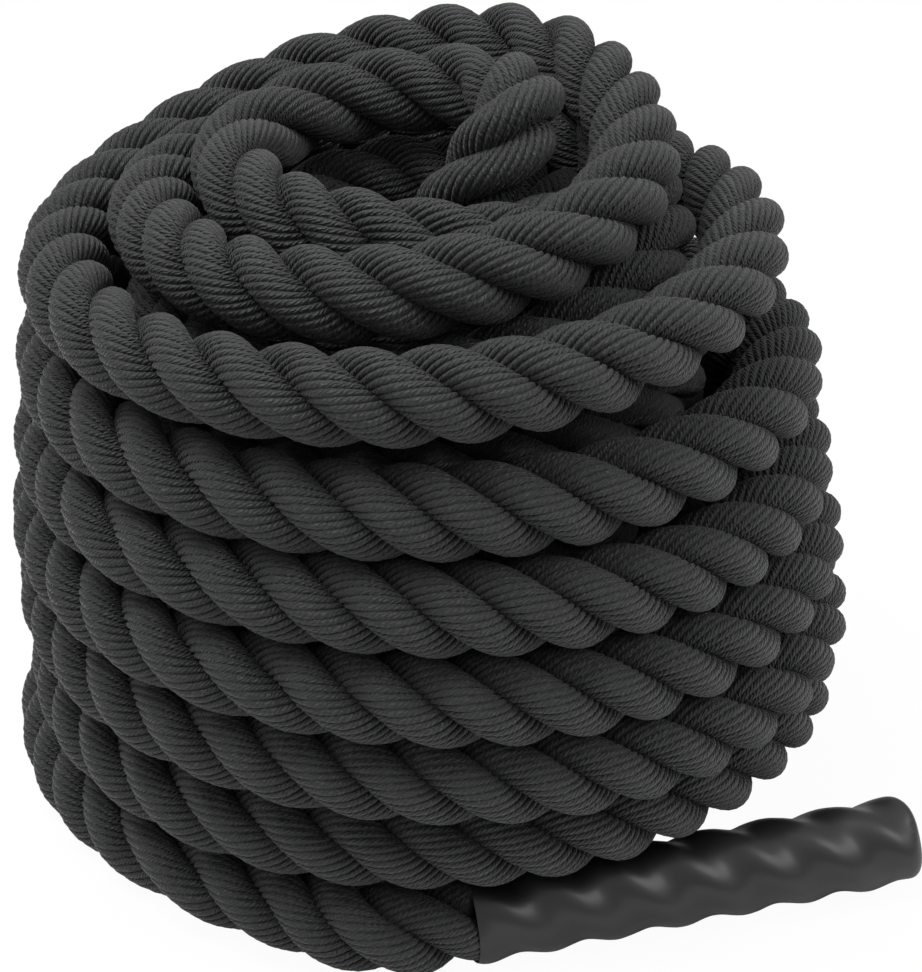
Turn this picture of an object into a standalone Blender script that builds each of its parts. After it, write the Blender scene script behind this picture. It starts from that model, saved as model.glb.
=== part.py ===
"""Battle rope: one long three-strand rope with a shrunk sleeve as a grip on each end, laid down in a coil.

The rope starts at the lower grip, at the front right, and winds clockwise, seen from above.
An outer layer climbs from the floor, crosses inward at the top, a middle layer goes back down inside it,
and an inner layer climbs again and ends in the hole, where the upper grip stands on the floor.
"""

import math

import bmesh
import bpy
from mathutils import Matrix, Vector

# Rope
ROPE_DIAMETER = 0.038
STRAND_COUNT = 3
LAY_PITCH = 0.0855

# The coil's tube. It is a little thinner than the rope, because the strands of turns that lie on one
# another settle into each other's hollows.
TUBE_SHARE = 0.97
FLOOR_CUT_SHARE = 0.1

# Coil. Its layers lie outside the hole, which the upper grip stands in.
INNER_LAYER_RADIUS = 0.06364
LAYERS_DEPTH_SHARE = 2.72
POINTS_PER_TURN = 24
ROUND_OFF_TURNS = 0.10
ROUND_OFF_SAMPLES = 9
LEAN_X_SHARE = -0.062
LEAN_Y_SHARE = -0.070
LEAST_GAP = 0.0004

# Grips
GRIP_LENGTH = 0.200
GRIP_BEARING = math.radians(16.0)
LEAD_LENGTH = 0.037
SLEEVE_WALL = 0.0010
SLEEVE_LUMP = 0.0010
SLEEVE_END_THICKNESS = 0.0040
SLEEVE_END_ROUNDING = 0.0070
SLEEVE_SIDES = 30
SLEEVE_RINGS = 24
SLEEVE_END_RINGS = 4
FIT_GAP = 0.0003
WELD_DISTANCE = 0.00003

# Rope ends inside the grips
HELD_ROPE_SHARE = 0.84
STRAND_POINTS_PER_LAY = 12
STRAND_SEARCH_STEPS = 200
STRAND_SEARCH_ROUNDS = 20
BINDING_LENGTH = 0.030
BINDING_THICKNESS = 0.0004
BINDING_SIDES = 32

# The pile, chosen by hand: turns from the front, way in from the coil's outer radius, height above the
# floor turn. Ways in and heights are shares of the rope's diameter.
OUTER_LAYER_SHARES = (
    (0.022, -0.72, 0.00),
    (0.060, 0.16, 0.00),
    (0.120, 0.72, 0.00),
    (0.190, -0.72, 0.00),
    (0.430, -0.26, 0.00),
    (0.580, -0.05, 0.42),
    (0.790, 0.12, 1.01),
    (0.900, 0.09, 1.21),
    (1.020, -0.02, 1.19),
    (1.250, -0.12, 1.08),
    (1.450, -0.12, 1.12),
    (1.760, 0.14, 1.99),
    (1.860, -0.36, 2.07),
    (2.000, -0.05, 2.21),
    (2.250, -0.07, 2.25),
    (2.500, -0.05, 2.44),
    (2.760, 0.18, 3.01),
    (2.860, -0.24, 3.05),
    (3.000, -0.05, 3.22),
    (3.250, 0.02, 3.25),
    (3.500, 0.06, 3.50),
    (3.760, 0.34, 4.02),
    (3.860, -0.12, 4.07),
    (4.000, 0.12, 4.27),
    (4.250, 0.21, 4.25),
    (4.500, 0.22, 4.53),
    (4.780, 0.30, 5.14),
    (5.000, 0.34, 5.24),
    (5.250, 0.39, 5.24),
)
CROSSING_SHARES = (
    (5.500, 0.35, 5.80),
    (5.680, 0.66, 6.55),
    (5.800, 0.75, 6.55),
    (6.000, 0.55, 6.42),
    (6.270, 0.58, 6.28),
    (6.400, 0.64, 6.64),
    (6.520, 0.84, 7.90),
    (6.640, 1.80, 7.80),
    (6.760, 1.92, 7.55),
    (6.880, 1.82, 7.28),
    (7.000, 1.66, 7.04),
    (7.120, 1.64, 6.88),
    (7.250, 1.60, 6.92),
    (7.420, 1.74, 6.78),
    (7.750, 1.70, 6.50),
    (8.000, 1.68, 5.90),
)
MIDDLE_LAYER_SHARES = (
    (8.500, 1.56, 5.42),
    (13.500, 1.56, 0.36),
    (13.840, 1.88, 0.00),
    (14.100, 2.30, 0.00),
)
INNER_LAYER_SHARES = (
    (14.350, 2.66, 0.10),
    (14.850, 2.71, 0.76),
    (15.100, 2.72, 1.02),
    (20.250, 2.76, 6.14),
    (20.480, 2.83, 6.62),
    (20.620, 2.83, 6.62),
    (20.820, 2.67, 6.70),
    (20.920, 2.78, 6.98),
    (21.000, 2.76, 7.20),
    (21.250, 2.50, 7.38),
    (21.400, 2.70, 7.48),
    (21.500, 2.82, 7.68),
    (21.620, 2.92, 7.84),
)
COIL_SHARES = OUTER_LAYER_SHARES + CROSSING_SHARES + MIDDLE_LAYER_SHARES + INNER_LAYER_SHARES

# The upper tail, chosen by hand: places from the pile's axis and heights above the floor turn.
TAIL_SHARES = (
    (1.32, 0.32, 7.90),
    (1.20, -0.08, 7.76),
    (0.79, -0.26, 7.28),
    (0.48, -0.20, 6.72),
    (0.18, -0.05, 6.20),
)

ROPE_RADIUS = ROPE_DIAMETER / 2
TUBE_DIAMETER = TUBE_SHARE * ROPE_DIAMETER
TUBE_RADIUS = TUBE_DIAMETER / 2
COIL_RADIUS = INNER_LAYER_RADIUS + LAYERS_DEPTH_SHARE * ROPE_DIAMETER
FLOOR_CUT = FLOOR_CUT_SHARE * TUBE_DIAMETER
REST_HEIGHT = TUBE_RADIUS - FLOOR_CUT
HELD_RADIUS = HELD_ROPE_SHARE * ROPE_RADIUS
BORE_RADIUS = HELD_RADIUS + FIT_GAP + BINDING_THICKNESS + FIT_GAP
SLEEVE_RADIUS = BORE_RADIUS + SLEEVE_WALL + SLEEVE_LUMP
SLEEVE_REACH = SLEEVE_RADIUS + SLEEVE_LUMP
BORE_DEPTH = GRIP_LENGTH - SLEEVE_END_THICKNESS
FULL_TURN = 2 * math.pi

ROPE_BLACK = (0.020, 0.021, 0.022, 1.0)
TAPE_BLACK = (0.012, 0.012, 0.013, 1.0)
SLEEVE_BLACK = (0.008, 0.008, 0.009, 1.0)


def clear_scene():
    """Empty the scene that the script starts in."""
    for item in list(bpy.data.objects):
        bpy.data.objects.remove(item, do_unlink=True)


def material(name, colour, roughness):
    """A plain material with one Principled shader."""
    made = bpy.data.materials.new(name)
    made.use_nodes = True
    shader = made.node_tree.nodes["Principled BSDF"]
    shader.inputs["Base Color"].default_value = colour
    shader.inputs["Roughness"].default_value = roughness
    return made


def add_object(name, mesh, finish, smooth=True):
    """Put a mesh in the scene as a named piece."""
    for face in mesh.polygons:
        face.use_smooth = smooth
    made = bpy.data.objects.new(name, mesh)
    made.data.materials.clear()
    made.data.materials.append(finish)
    bpy.context.scene.collection.objects.link(made)
    return made


def pile_axis(height):
    """The pile's axis, which leans as the pile rises."""
    return Vector((LEAN_X_SHARE * height, LEAN_Y_SHARE * height, height))


def station_at(turn):
    """Way in and height, in shares, straight between the stations."""
    turn = min(max(turn, COIL_SHARES[0][0]), COIL_SHARES[-1][0])
    for before, after in zip(COIL_SHARES, COIL_SHARES[1:]):
        if turn <= after[0]:
            break
    part = (turn - before[0]) / (after[0] - before[0])
    inward = before[1] + part * (after[1] - before[1])
    height = before[2] + part * (after[2] - before[2])
    return inward, height


def coil_point(turn):
    """A point of the coil, its stations rounded off by averaging over part of a turn."""
    inward = 0.0
    height = 0.0
    for sample in range(ROUND_OFF_SAMPLES):
        across = 2 * sample / (ROUND_OFF_SAMPLES - 1) - 1
        near = station_at(turn + across * ROUND_OFF_TURNS)
        inward += near[0] / ROUND_OFF_SAMPLES
        height += near[1] / ROUND_OFF_SAMPLES
    radius = COIL_RADIUS - inward * ROPE_DIAMETER
    angle = -FULL_TURN * (turn + 1 / 4)
    ring = Vector((radius * math.cos(angle), radius * math.sin(angle), 0.0))
    return ring + pile_axis(REST_HEIGHT + height * ROPE_DIAMETER)


def tail_point(share):
    """A point of the upper tail."""
    side = Vector((share[0] * ROPE_DIAMETER, share[1] * ROPE_DIAMETER, 0.0))
    return side + pile_axis(REST_HEIGHT + share[2] * ROPE_DIAMETER)


def grip_direction():
    """The way the lower grip points, from its mouth to its closed end."""
    return Vector((math.cos(GRIP_BEARING), math.sin(GRIP_BEARING), 0.0))


def rope_route():
    """The rope's middle line, from the lower grip's mouth to the upper grip's mouth."""
    first = COIL_SHARES[0][0]
    last = COIL_SHARES[-1][0]
    steps = round((last - first) * POINTS_PER_TURN)
    coil = [coil_point(first + (last - first) * step / steps) for step in range(steps + 1)]
    raised = SLEEVE_REACH - REST_HEIGHT
    coil[0].z += raised
    coil[1].z += raised / 2
    mouth = coil[0] + LEAD_LENGTH * grip_direction()
    tail = [tail_point(share) for share in TAIL_SHARES]
    foot = pile_axis(GRIP_LENGTH)
    upper_mouth = Vector((foot.x, foot.y, GRIP_LENGTH))
    straight = upper_mouth + Vector((0.0, 0.0, ROPE_DIAMETER))
    return [mouth] + coil + tail + [straight, upper_mouth]


def route_length(points):
    """Length of a line of points."""
    return sum((b - a).length for a, b in zip(points, points[1:]))


def least_self_gap(points, diameter):
    """Least gap between parts of one tube that lie apart along it."""
    reach = 2 * diameter
    fine = []
    along = []
    run = 0.0
    for a, b in zip(points, points[1:]):
        for part in (0.0, 1 / 3, 2 / 3):
            fine.append(a.lerp(b, part))
            along.append(run + part * (b - a).length)
        run += (b - a).length
    least = None
    for i, here in enumerate(fine):
        for j in range(i + 1, len(fine)):
            if along[j] - along[i] < reach:
                continue
            apart = (fine[j] - here).length
            if least is None or apart < least:
                least = apart
    return least - diameter


def box_middle(points, lower_frame):
    """Middle of the part's box in X and Y, from the route and the lower grip."""
    tip = lower_frame @ Vector((0.0, 0.0, GRIP_LENGTH))
    low_x = min(point.x for point in points) - TUBE_RADIUS
    high_x = tip.x
    low_y = min(point.y for point in points) - TUBE_RADIUS
    high_y = max(point.y for point in points) + TUBE_RADIUS
    return Vector(((low_x + high_x) / 2, (low_y + high_y) / 2, 0.0))


def frame_at(place, direction):
    """A frame with its Z along a direction."""
    turn = direction.to_track_quat("Z", "Y").to_matrix().to_4x4()
    return Matrix.Translation(place) @ turn


def tube(name, points, radius, resolution, finish):
    """A closed round tube along a line of points."""
    curve = bpy.data.curves.new(name, "CURVE")
    curve.dimensions = "3D"
    curve.bevel_depth = radius
    curve.bevel_resolution = resolution
    curve.use_fill_caps = True
    line = curve.splines.new("POLY")
    line.points.add(len(points) - 1)
    for spot, point in zip(line.points, points):
        spot.co = (point.x, point.y, point.z, 1.0)
    source = bpy.data.objects.new(name + "_line", curve)
    bpy.context.scene.collection.objects.link(source)
    bpy.context.view_layer.update()
    seen = source.evaluated_get(bpy.context.evaluated_depsgraph_get())
    mesh = bpy.data.meshes.new_from_object(seen)
    mesh.name = name
    bpy.data.objects.remove(source, do_unlink=True)
    weld(mesh)
    return add_object(name, mesh, finish)


def weld(mesh):
    """Join the doubled points of a mesh and turn its faces outward."""
    work = bmesh.new()
    work.from_mesh(mesh)
    bmesh.ops.remove_doubles(work, verts=work.verts, dist=WELD_DISTANCE)
    bmesh.ops.recalc_face_normals(work, faces=work.faces)
    work.to_mesh(mesh)
    work.free()


def cut_below_floor(piece):
    """Cut a piece flat where it would reach below the floor, and close the cut."""
    work = bmesh.new()
    work.from_mesh(piece.data)
    everything = work.verts[:] + work.edges[:] + work.faces[:]
    cut = bmesh.ops.bisect_plane(
        work,
        geom=everything,
        dist=WELD_DISTANCE,
        plane_co=(0.0, 0.0, 0.0),
        plane_no=(0.0, 0.0, -1.0),
        clear_outer=True,
    )
    edges = [part for part in cut["geom_cut"] if isinstance(part, bmesh.types.BMEdge)]
    bmesh.ops.holes_fill(work, edges=edges, sides=0)
    bmesh.ops.recalc_face_normals(work, faces=work.faces)
    work.to_mesh(piece.data)
    work.free()


def helix_point(orbit, phase, along):
    """A point of a strand's middle line, in the grip's frame."""
    angle = phase + FULL_TURN * along / LAY_PITCH
    return Vector((orbit * math.cos(angle), orbit * math.sin(angle), along))


def lay_angle(orbit):
    """Angle between a strand and the rope's length."""
    return math.atan(FULL_TURN * orbit / LAY_PITCH)


def strand_spacing(orbit):
    """Least distance between the middle lines of two strands side by side."""
    here = helix_point(orbit, 0.0, 0.0)
    phase = FULL_TURN / STRAND_COUNT
    least = LAY_PITCH
    for step in range(STRAND_SEARCH_STEPS):
        along = LAY_PITCH * (step / STRAND_SEARCH_STEPS - 1 / 2)
        least = min(least, (helix_point(orbit, phase, along) - here).length)
    return least


def strand_sizes():
    """Orbit and radius of the held strands: as thick as the lay lets them be."""
    radius = HELD_RADIUS / 2
    for _ in range(STRAND_SEARCH_ROUNDS):
        room = (strand_spacing(HELD_RADIUS - radius) - FIT_GAP) / 2
        radius = (radius + room) / 2
    return HELD_RADIUS - radius, radius


def strand(name, frame, number, finish):
    """One strand of the rope's end inside a grip."""
    orbit, radius = strand_sizes()
    tilt_reach = radius * math.sin(lay_angle(orbit))
    start = FIT_GAP + tilt_reach
    stop = BORE_DEPTH - FIT_GAP - tilt_reach
    steps = round((stop - start) / LAY_PITCH * STRAND_POINTS_PER_LAY)
    phase = FULL_TURN * number / STRAND_COUNT
    points = []
    for step in range(steps + 1):
        along = start + (stop - start) * step / steps
        points.append(frame @ helix_point(orbit, phase, along))
    return tube(name, points, radius, 2, finish)


def ring_shell(name, frame, profile, sides, lumps, finish):
    """A closed solid of rings about the frame's Z; the first and last entries are its poles."""
    work = bmesh.new()
    rings = []
    for along, radius, lump in profile:
        if radius == 0:
            rings.append([work.verts.new(frame @ Vector((0.0, 0.0, along)))])
            continue
        ring = []
        for side in range(sides):
            angle = FULL_TURN * side / sides
            swell = lump * math.cos(lumps * (angle - FULL_TURN * along / LAY_PITCH))
            reach = radius + swell
            spot = Vector((reach * math.cos(angle), reach * math.sin(angle), along))
            ring.append(work.verts.new(frame @ spot))
        rings.append(ring)
    for one, two in zip(rings, rings[1:]):
        for side in range(sides):
            after = (side + 1) % sides
            if len(one) == 1:
                work.faces.new((one[0], two[side], two[after]))
            elif len(two) == 1:
                work.faces.new((one[side], two[0], one[after]))
            else:
                work.faces.new((one[side], two[side], two[after], one[after]))
    bmesh.ops.recalc_face_normals(work, faces=work.faces)
    mesh = bpy.data.meshes.new(name)
    work.to_mesh(mesh)
    work.free()
    return add_object(name, mesh, finish)


def sleeve(name, frame, finish):
    """The shrunk sleeve: a closed end, a round bore and the strands' lumps on the outside."""
    profile = [(GRIP_LENGTH, 0.0, 0.0)]
    for step in range(1, SLEEVE_END_RINGS + 1):
        angle = math.pi / 2 * step / SLEEVE_END_RINGS
        along = GRIP_LENGTH - SLEEVE_END_ROUNDING * (1 - math.cos(angle))
        reach = SLEEVE_RADIUS - SLEEVE_END_ROUNDING * (1 - math.sin(angle))
        profile.append((along, reach, SLEEVE_LUMP * step / SLEEVE_END_RINGS))
    straight = GRIP_LENGTH - SLEEVE_END_ROUNDING
    for step in range(1, SLEEVE_RINGS + 1):
        profile.append((straight * (1 - step / SLEEVE_RINGS), SLEEVE_RADIUS, SLEEVE_LUMP))
    profile.append((0.0, BORE_RADIUS, 0.0))
    profile.append((BORE_DEPTH, BORE_RADIUS, 0.0))
    profile.append((BORE_DEPTH, 0.0, 0.0))
    return ring_shell(name, frame, profile, SLEEVE_SIDES, STRAND_COUNT, finish)


def binding(name, frame, finish):
    """The band of tape round the strands' cut ends."""
    inner = HELD_RADIUS + FIT_GAP
    outer = inner + BINDING_THICKNESS
    stop = BORE_DEPTH - FIT_GAP
    start = stop - BINDING_LENGTH
    work = bmesh.new()
    rings = []
    for along, radius in ((start, inner), (start, outer), (stop, outer), (stop, inner)):
        ring = []
        for side in range(BINDING_SIDES):
            angle = FULL_TURN * side / BINDING_SIDES
            spot = Vector((radius * math.cos(angle), radius * math.sin(angle), along))
            ring.append(work.verts.new(frame @ spot))
        rings.append(ring)
    for index, one in enumerate(rings):
        two = rings[(index + 1) % len(rings)]
        for side in range(BINDING_SIDES):
            after = (side + 1) % BINDING_SIDES
            work.faces.new((one[side], two[side], two[after], one[after]))
    bmesh.ops.recalc_face_normals(work, faces=work.faces)
    mesh = bpy.data.meshes.new(name)
    work.to_mesh(mesh)
    work.free()
    return add_object(name, mesh, finish)


def rope_end(side, frame, finishes):
    """The strands, their binding and the sleeve of one end."""
    for number in range(STRAND_COUNT):
        strand(f"{side}_strand_{number + 1}", frame, number, finishes["rope"])
    binding(f"{side}_binding", frame, finishes["tape"])
    sleeve(f"{side}_sleeve", frame, finishes["sleeve"])


def build():
    """Model the whole battle rope."""
    clear_scene()
    finishes = {
        "rope": material("rope_fibre", ROPE_BLACK, 0.9),
        "tape": material("binding_tape", TAPE_BLACK, 0.6),
        "sleeve": material("shrunk_sleeve", SLEEVE_BLACK, 0.4),
    }
    points = rope_route()
    lower = frame_at(points[0], grip_direction())
    middle = box_middle(points, lower)
    points = [point - middle for point in points]
    lower = frame_at(points[0], grip_direction())
    upper = frame_at(points[-1], Vector((0.0, 0.0, -1.0)))
    gap = least_self_gap(points, TUBE_DIAMETER)
    print(f"rope length between the grips {route_length(points):.3f} m")
    print(f"rope length with both grips {route_length(points) + 2 * GRIP_LENGTH:.3f} m")
    print(f"least gap of the coil to itself {gap * 1000:.2f} mm, wanted over {LEAST_GAP * 1000:.1f} mm")
    coil = tube("rope_coil", points, TUBE_RADIUS, 1, finishes["rope"])
    cut_below_floor(coil)
    rope_end("lower", lower, finishes)
    rope_end("upper", upper, finishes)
    print(f"pieces {len(bpy.data.objects)}")


build()
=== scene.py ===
# %% [markdown]
# # A battle rope, laid down in a coil
#
# A battle rope is one long, thick rope that people swing with both hands. Each end has a grip: a plastic sleeve
# that was shrunk over the last stretch of the rope. Put away, the rope is wound into a tall coil.
#
# The CAD model already holds the rope as a plain round tube, with a closed sleeve on each end. It could simply be
# given a rope texture, but then every edge would stay smooth. Here the tube is replaced by three laid strands, each
# ribbed by its yarns, and the sleeves by ones that show the strands under the plastic.

# %% Load the CAD frame
import math

import bpy
import numpy as np
from mathutils import Matrix, Vector


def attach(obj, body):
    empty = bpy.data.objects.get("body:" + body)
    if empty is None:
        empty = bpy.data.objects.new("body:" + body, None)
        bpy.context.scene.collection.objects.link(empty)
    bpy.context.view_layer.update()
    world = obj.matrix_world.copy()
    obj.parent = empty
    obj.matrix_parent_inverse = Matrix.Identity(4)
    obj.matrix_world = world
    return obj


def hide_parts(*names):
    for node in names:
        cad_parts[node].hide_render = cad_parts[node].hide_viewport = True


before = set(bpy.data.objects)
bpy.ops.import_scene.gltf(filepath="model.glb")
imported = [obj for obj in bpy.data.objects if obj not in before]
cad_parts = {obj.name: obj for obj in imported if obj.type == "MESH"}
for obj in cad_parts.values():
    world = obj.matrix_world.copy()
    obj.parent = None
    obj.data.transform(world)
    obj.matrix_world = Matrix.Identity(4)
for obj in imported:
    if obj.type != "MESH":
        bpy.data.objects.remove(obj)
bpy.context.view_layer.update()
print("CAD nodes:", ", ".join(sorted(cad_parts)))

# %% [markdown]
# ## The camera
#
# The photograph was taken from the front and from about 29 degrees above, with a long lens: the turns at the back
# look nearly as thick as those in front. A camera could be moved about until the picture fits. Here its place and
# lens come from measuring the turns in the photograph, in rope diameters, and solving for the view.

# %% Camera at the photograph's angle
ROPE_DIAMETER = 0.038
VIEW_ELEVATION = math.radians(29.14)
VIEW_DISTANCE = 27 * ROPE_DIAMETER
VIEW_TARGET = Vector((0.1718, -1.0117, 4.166)) * ROPE_DIAMETER
SENSOR_WIDTH, LENS = 36, 87.3

camera_data = bpy.data.cameras.new("camera")
camera_data.sensor_width = SENSOR_WIDTH
camera_data.lens = LENS
camera = bpy.data.objects.new("camera", camera_data)
bpy.context.scene.collection.objects.link(camera)
backward = Vector((0, -math.cos(VIEW_ELEVATION), math.sin(VIEW_ELEVATION)))
camera.location = VIEW_TARGET + VIEW_DISTANCE * backward
camera.rotation_euler = backward.to_track_quat("Z", "Y").to_euler()
bpy.context.scene.camera = camera
print("camera at", tuple(round(value, 4) for value in camera.location))

# %% [markdown]
# ## The way the rope lies
#
# The rope starts at the lower grip, at the front right, and winds clockwise, seen from above. An outer layer climbs
# from the floor, crosses inward on top, a middle layer goes back down inside it, and an inner layer climbs again and
# ends in the hole. A cloth or rope simulation could drop the turns, but they would never fall as they did in the
# photograph. So the way is worked out as in the CAD model: a list of stations says how far in and how high the rope
# lies at each part of a turn, and a circle does the rest.

# %% Stations of the pile
# Each row: turns from the front, way in from the outer radius, height above the floor turn, both in diameters. The
# stations at 7.58 and 7.75 lie higher than the CAD model's, which closes a gap at the back of the pile.
PILE = np.array([
    (0.022, -0.72, 0.00), (0.060, 0.16, 0.00), (0.120, 0.72, 0.00), (0.190, -0.72, 0.00), (0.430, -0.26, 0.00),
    (0.580, -0.05, 0.42), (0.790, 0.12, 1.01), (0.900, 0.09, 1.21),
    (1.020, -0.02, 1.19), (1.250, -0.12, 1.08), (1.450, -0.12, 1.12), (1.760, 0.14, 1.99), (1.860, -0.36, 2.07),
    (2.000, -0.05, 2.21), (2.250, -0.07, 2.25), (2.500, -0.05, 2.44), (2.760, 0.18, 3.01), (2.860, -0.24, 3.05),
    (3.000, -0.05, 3.22), (3.250, 0.02, 3.25), (3.500, 0.06, 3.50), (3.760, 0.34, 4.02), (3.860, -0.12, 4.07),
    (4.000, 0.12, 4.27), (4.250, 0.21, 4.25), (4.500, 0.22, 4.53), (4.780, 0.30, 5.14),
    (5.000, 0.34, 5.24), (5.250, 0.39, 5.24), (5.500, 0.35, 5.80), (5.680, 0.66, 6.55), (5.800, 0.75, 6.55),
    (6.000, 0.55, 6.42), (6.270, 0.58, 6.28), (6.400, 0.64, 6.64), (6.520, 0.84, 7.90), (6.640, 1.80, 7.80),
    (6.760, 1.92, 7.55), (6.880, 1.82, 7.28), (7.000, 1.66, 7.04), (7.120, 1.64, 6.88), (7.250, 1.60, 6.92),
    (7.420, 1.74, 6.78), (7.580, 1.74, 6.98), (7.750, 1.70, 6.62), (8.000, 1.68, 5.90), (8.500, 1.56, 5.42),
    (13.500, 1.56, 0.36), (13.840, 1.88, 0.00), (14.100, 2.30, 0.00), (14.350, 2.66, 0.10), (14.850, 2.71, 0.76),
    (15.100, 2.72, 1.02),
    (20.250, 2.76, 6.14), (20.480, 2.83, 6.62), (20.620, 2.83, 6.62), (20.820, 2.67, 6.70), (20.920, 2.78, 6.98),
    (21.000, 2.76, 7.20), (21.250, 2.50, 7.38), (21.400, 2.70, 7.48), (21.500, 2.82, 7.68), (21.620, 2.92, 7.84),
])
# The tail that dips into the hole: places from the pile's axis, and heights.
TAIL = np.array([
    (1.32, 0.32, 7.90), (1.20, -0.08, 7.76), (0.79, -0.26, 7.28), (0.48, -0.20, 6.72), (0.18, -0.05, 6.20),
])
OUTER_RADIUS = 0.167
POINTS_PER_TURN = 24
# The stations are averaged over this part of a turn, before and after a point.
ROUND_OFF = np.linspace(-0.10, 0.10, 9)
# The pile leans to the left and to the front as it rises.
LEAN = np.array([-0.062, -0.070, 1.0])
# The CAD tube is thinner than the rope, and a tenth of it is cut off flat on the floor.
TUBE_SHARE = 0.97
FLAT_SHARE = 0.1
TUBE_RADIUS = TUBE_SHARE * ROPE_DIAMETER / 2
CAD_REST = TUBE_RADIUS - FLAT_SHARE * 2 * TUBE_RADIUS
print(len(PILE), "stations over", PILE[-1, 0], "turns")

# %% From stations to the rope's middle line
GRIP_LENGTH = 0.200
GRIP_BEARING = math.radians(16.0)
# From the coil to the grip's mouth, and the height of the grip's middle line above the floor.
LEAD_LENGTH = 0.037
GRIP_HEIGHT = 0.01996


def bearing(turn):
    """Angle round the pile's axis: turn 0 is at the front, and the turns go clockwise."""
    return -2 * math.pi * (turn + 1 / 4)


def coil_point(turn):
    """A point of the coil: its stations are averaged over part of a turn, which rounds them off."""
    inward = np.interp(turn + ROUND_OFF, PILE[:, 0], PILE[:, 1]).mean()
    height = np.interp(turn + ROUND_OFF, PILE[:, 0], PILE[:, 2]).mean()
    radius = OUTER_RADIUS - inward * ROPE_DIAMETER
    angle = bearing(turn)
    ring = np.array([radius * math.cos(angle), radius * math.sin(angle), 0.0])
    return ring + LEAN * (CAD_REST + height * ROPE_DIAMETER)


steps = round((PILE[-1, 0] - PILE[0, 0]) * POINTS_PER_TURN)
coil_turns = np.linspace(PILE[0, 0], PILE[-1, 0], steps + 1)
coil = np.array([coil_point(turn) for turn in coil_turns])
coil[0, 2] += GRIP_HEIGHT - CAD_REST
coil[1, 2] += (GRIP_HEIGHT - CAD_REST) / 2
grip_way = np.array([math.cos(GRIP_BEARING), math.sin(GRIP_BEARING), 0.0])
mouth = coil[0] + LEAD_LENGTH * grip_way
tail = TAIL * (ROPE_DIAMETER, ROPE_DIAMETER, 0) + LEAN * (CAD_REST + TAIL[:, 2:] * ROPE_DIAMETER)
upper_mouth = LEAN * GRIP_LENGTH
cad_line = np.vstack([mouth, coil, tail, upper_mouth + (0, 0, ROPE_DIAMETER), upper_mouth])

tip = mouth + GRIP_LENGTH * grip_way
low, high = cad_line.min(axis=0) - TUBE_RADIUS, cad_line.max(axis=0) + TUBE_RADIUS
middle = np.array([(low[0] + tip[0]) / 2, (low[1] + high[1]) / 2, 0.0])
cad_line -= middle
cad_length = np.linalg.norm(np.diff(cad_line, axis=0), axis=1).sum()
print(len(cad_line), "points,", round(cad_length, 3), "m between the grips")

# %% [markdown]
# The CAD tube is a little thinner than the rope and is cut flat where it lies on the floor. The real strands are
# round there, so the whole coil is lifted until the rope lies on the floor, and only the two ends stay where the
# grips are. The lowest turn also moves a few millimetres at the front left, where the photograph has it pressed
# against the turn above. Then a smooth curve is laid through the points, because between two CAD points the tube is
# straight.

# %% Lift the coil, and press the lowest turn up
# Each row: turn, how much higher, and how much further out.
LOWEST_TURN = np.array([
    (0.000, 0.0, 0.0), (0.022, 0.0026, 0.0), (0.060, 0.0034, 0.0), (0.105, 0.0031, 0.0), (0.147, 0.0005, 0.0014),
    (0.190, 0.0, 0.0028), (0.230, 0.0, 0.0007), (0.272, 0.0, 0.0),
])
line = cad_line.copy()
lift = ROPE_DIAMETER / 2 - CAD_REST
line[2:-2, 2] += lift
line[1, 2] = line[0, 2]
line[2, 2] = (line[1, 2] + line[3, 2]) / 2
higher = np.interp(coil_turns, LOWEST_TURN[:, 0], LOWEST_TURN[:, 1])
further_out = np.interp(coil_turns, LOWEST_TURN[:, 0], LOWEST_TURN[:, 2])
line[1:len(coil) + 1, 0] += further_out * np.cos(bearing(coil_turns))
line[1:len(coil) + 1, 1] += further_out * np.sin(bearing(coil_turns))
line[1:len(coil) + 1, 2] += higher
print("lifted", round(lift * 1000, 2), "mm, and the lowest turn up to", round(higher.max() * 1000, 2), "mm more")

# %% A smooth line, a millimetre from point to point
LINE_STEP = 0.001
chords = np.linalg.norm(np.diff(line, axis=0), axis=1)
knots = np.concatenate([[0], np.cumsum(chords)])
slopes = np.empty_like(line)
before, after = np.diff(line[:-1], axis=0) / chords[:-1, None], np.diff(line[1:], axis=0) / chords[1:, None]
slopes[1:-1] = (before * chords[1:, None] + after * chords[:-1, None]) / (chords[:-1] + chords[1:])[:, None]
slopes[0], slopes[-1] = -grip_way, (0, 0, -1)

fine = np.arange(0, knots[-1], LINE_STEP)
piece = np.minimum(np.searchsorted(knots, fine, side="right") - 1, len(chords) - 1)
part = ((fine - knots[piece]) / chords[piece])[:, None]
wide = chords[piece][:, None]
smooth = ((2 * part**3 - 3 * part**2 + 1) * line[piece] + (part**3 - 2 * part**2 + part) * wide * slopes[piece]
          + (3 * part**2 - 2 * part**3) * line[piece + 1] + (part**3 - part**2) * wide * slopes[piece + 1])
smooth = np.vstack([smooth, line[-1]])
along = np.concatenate([[0], np.cumsum(np.linalg.norm(np.diff(smooth, axis=0), axis=1))])
ROPE_LENGTH = along[-1]
turn_along = np.interp(knots[1:len(coil) + 1], np.append(fine, knots[-1]), along)
print("smooth line", round(ROPE_LENGTH, 3), "m")

# %% Directions along the line
forward = np.gradient(smooth, along, axis=0)
forward /= np.linalg.norm(forward, axis=1)[:, None]
forward[0], forward[-1] = -grip_way, (0, 0, -1)
sideways = np.empty_like(forward)
side = np.cross(forward[0], (0, 0, 1))
for index, way in enumerate(forward):
    side = side - way * side.dot(way)
    side = side / np.linalg.norm(side)
    sideways[index] = side
print("the frame is carried along without twist over", len(forward), "points")


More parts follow.
